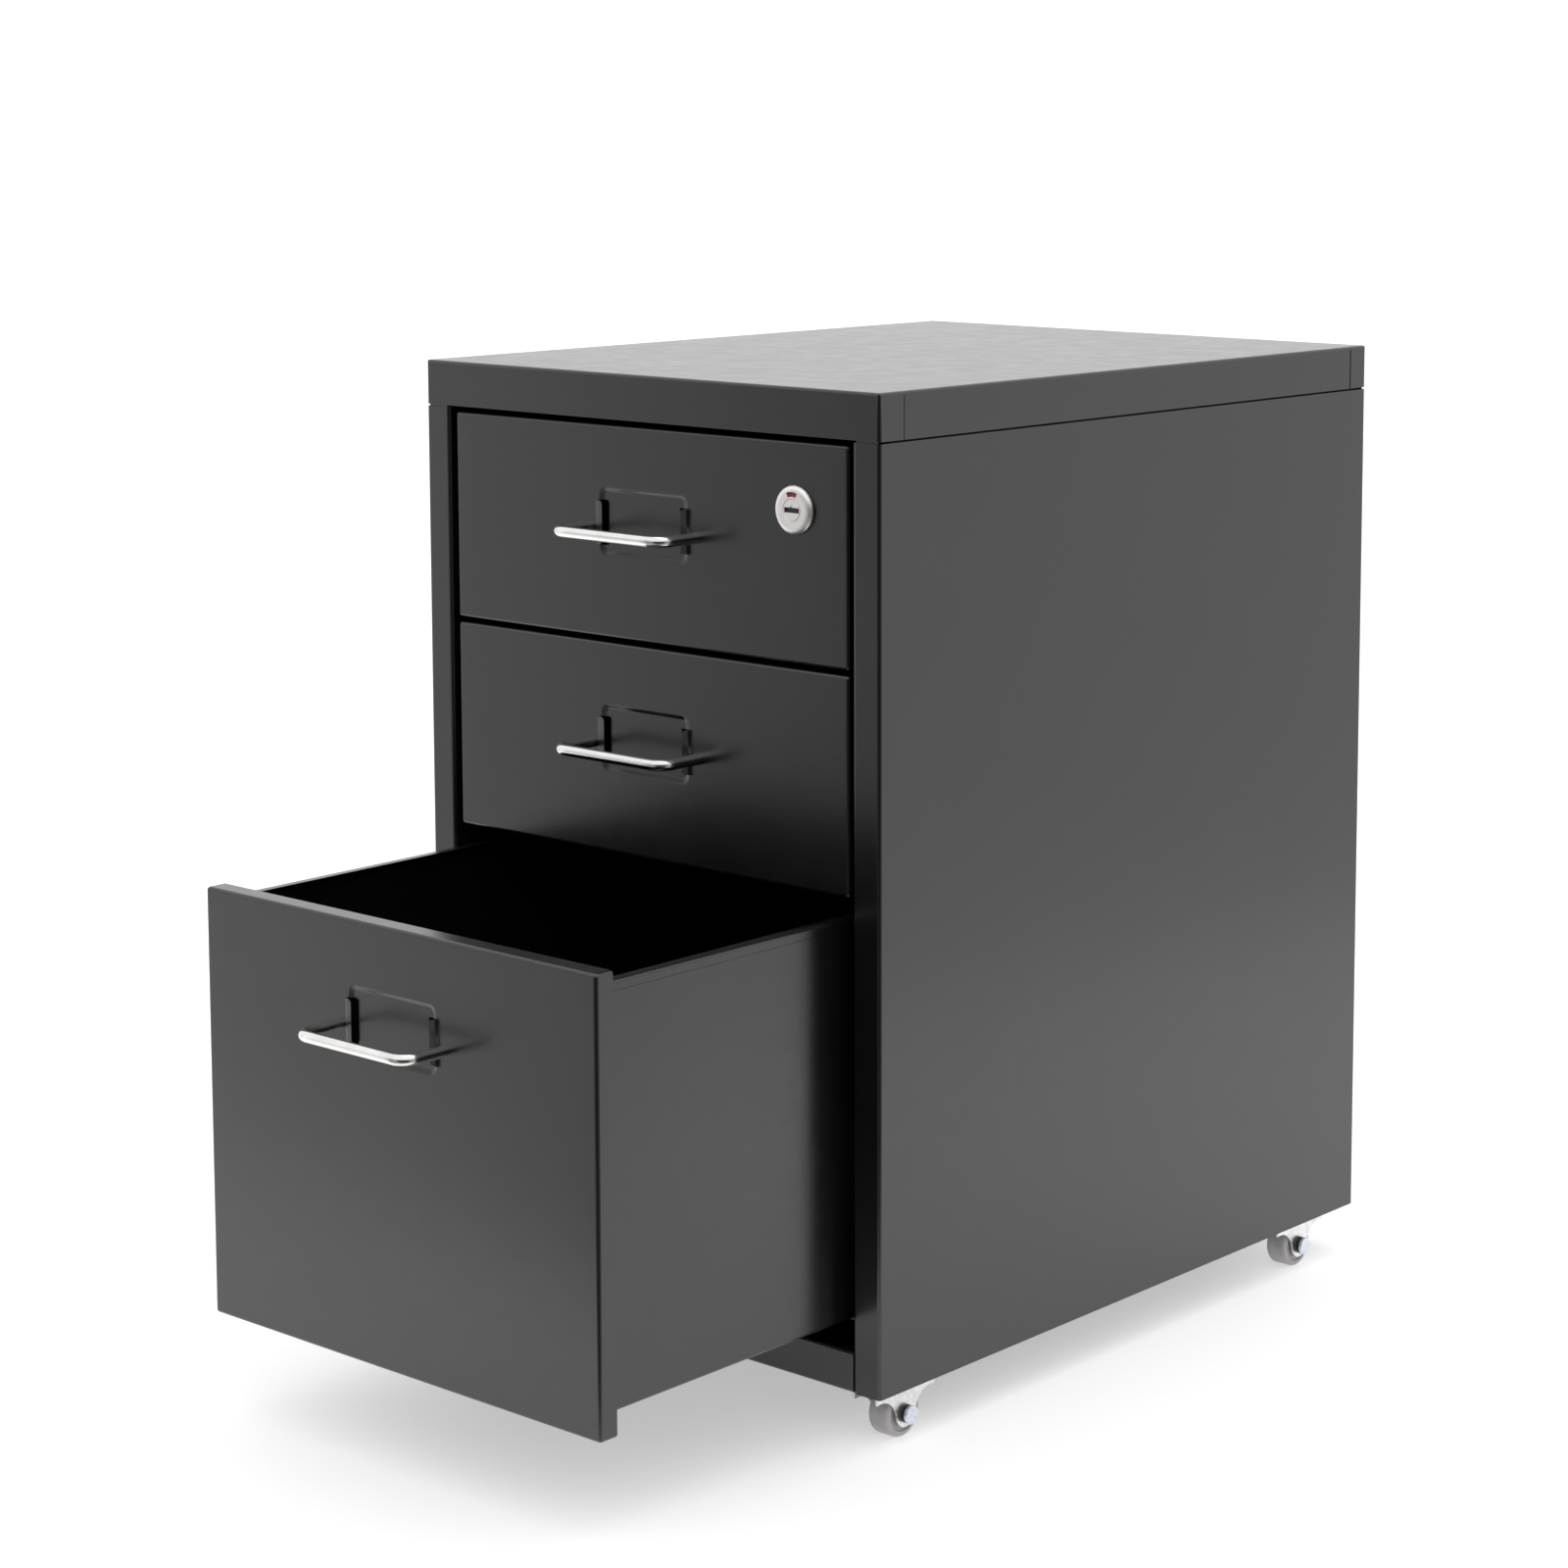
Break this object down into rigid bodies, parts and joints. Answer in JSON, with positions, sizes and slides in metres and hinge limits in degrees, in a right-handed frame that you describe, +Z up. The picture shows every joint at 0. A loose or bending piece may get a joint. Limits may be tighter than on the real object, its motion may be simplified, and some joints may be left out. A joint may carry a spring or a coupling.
{
  "type": "rolling pedestal cabinet",
  "caption": "Folded steel office pedestal on fixed casters: lockable top drawer, middle drawer and a deep file drawer standing part open, each with a bent rod handle.",
  "frame": {"origin": "on the floor, under the middle of the case's footprint", "axes": "+X to the cabinet's right as seen from the front, +Y towards the back, +Z up; the drawers open along -Y"},
  "size_m": [0.38, 0.7365, 0.624],
  "materials": {
    "black_paint": "satin charcoal powder coat with a fine orange peel",
    "chrome": "polished chrome plate",
    "lock_nickel": "satin nickel plate",
    "zinc": "bright zinc plate on stamped steel",
    "bright_steel": "blue-white zinc plate",
    "dark_steel": "black oxide",
    "grey_nylon": "moulded nylon",
    "black_nylon": "moulded nylon",
    "red_flag": "red lacquer"
  },
  "bodies": {
    "cabinet": {"top_cap": "black_paint", "front_top_rail": "black_paint", "left_side_panel": "black_paint", "right_side_panel": "black_paint", "back_panel": "black_paint", "base_pan": "black_paint", "front_bottom_rail": "black_paint", "top_left_runner": "black_paint", "top_right_runner": "black_paint", "middle_left_runner": "black_paint", "middle_right_runner": "black_paint", "bottom_left_runner": "black_paint", "bottom_right_runner": "black_paint", "back_screws": "zinc", "runner_glides": "black_nylon", "front_left_caster_fork": "zinc", "front_right_caster_fork": "zinc", "rear_left_caster_fork": "zinc", "rear_right_caster_fork": "zinc", "caster_axles": "bright_steel", "caster_spacers": "dark_steel", "caster_screws": "zinc"},
    "top_drawer": {"top_drawer_front": "black_paint", "top_drawer_left_side": "black_paint", "top_drawer_right_side": "black_paint", "top_drawer_back": "black_paint", "top_drawer_bottom": "black_paint", "top_drawer_handle": "chrome", "top_drawer_handle_screws": "zinc", "top_drawer_glides": "black_nylon", "lock_housing": "lock_nickel", "lock_nut": "zinc"},
    "middle_drawer": {"middle_drawer_front": "black_paint", "middle_drawer_left_side": "black_paint", "middle_drawer_right_side": "black_paint", "middle_drawer_back": "black_paint", "middle_drawer_bottom": "black_paint", "middle_drawer_handle": "chrome", "middle_drawer_handle_screws": "zinc", "middle_drawer_glides": "black_nylon"},
    "bottom_drawer": {"bottom_drawer_front": "black_paint", "bottom_drawer_left_side": "black_paint", "bottom_drawer_right_side": "black_paint", "bottom_drawer_back": "black_paint", "bottom_drawer_bottom": "black_paint", "bottom_drawer_handle": "chrome", "bottom_drawer_handle_screws": "zinc", "bottom_drawer_glides": "black_nylon"},
    "lock_cylinder": {"lock_plug": "lock_nickel", "lock_indicator": "red_flag", "lock_cam": "zinc", "lock_cam_screw": "zinc"},
    "front_left_wheel": {"front_left_wheel": "grey_nylon"},
    "front_right_wheel": {"front_right_wheel": "grey_nylon"},
    "rear_left_wheel": {"rear_left_wheel": "grey_nylon"},
    "rear_right_wheel": {"rear_right_wheel": "grey_nylon"}
  },
  "joints": [
    {"name": "top_drawer_slide", "type": "slide", "parent": "cabinet", "child": "top_drawer", "axis": [0, -1, 0], "range_m": [0, 0.33]},
    {"name": "middle_drawer_slide", "type": "slide", "parent": "cabinet", "child": "middle_drawer", "axis": [0, -1, 0], "range_m": [0, 0.33]},
    {"name": "bottom_drawer_slide", "type": "slide", "parent": "cabinet", "child": "bottom_drawer", "axis": [0, -1, 0], "range_m": [-0.205, 0.125]},
    {"name": "lock_turn", "type": "hinge", "parent": "top_drawer", "child": "lock_cylinder", "pos_m": [0.1245, -0.2465, 0.5525], "axis": [0, 1, 0], "range_deg": [0, 90]},
    {"name": "front_left_wheel_spin", "type": "hinge", "parent": "cabinet", "child": "front_left_wheel", "pos_m": [-0.17475, -0.218, 0.015], "axis": [1, 0, 0], "continuous": true},
    {"name": "front_right_wheel_spin", "type": "hinge", "parent": "cabinet", "child": "front_right_wheel", "pos_m": [0.17475, -0.218, 0.015], "axis": [1, 0, 0], "continuous": true},
    {"name": "rear_left_wheel_spin", "type": "hinge", "parent": "cabinet", "child": "rear_left_wheel", "pos_m": [-0.17475, 0.1925, 0.015], "axis": [1, 0, 0], "continuous": true},
    {"name": "rear_right_wheel_spin", "type": "hinge", "parent": "cabinet", "child": "rear_right_wheel", "pos_m": [0.17475, 0.1925, 0.015], "axis": [1, 0, 0], "continuous": true}
  ]
}
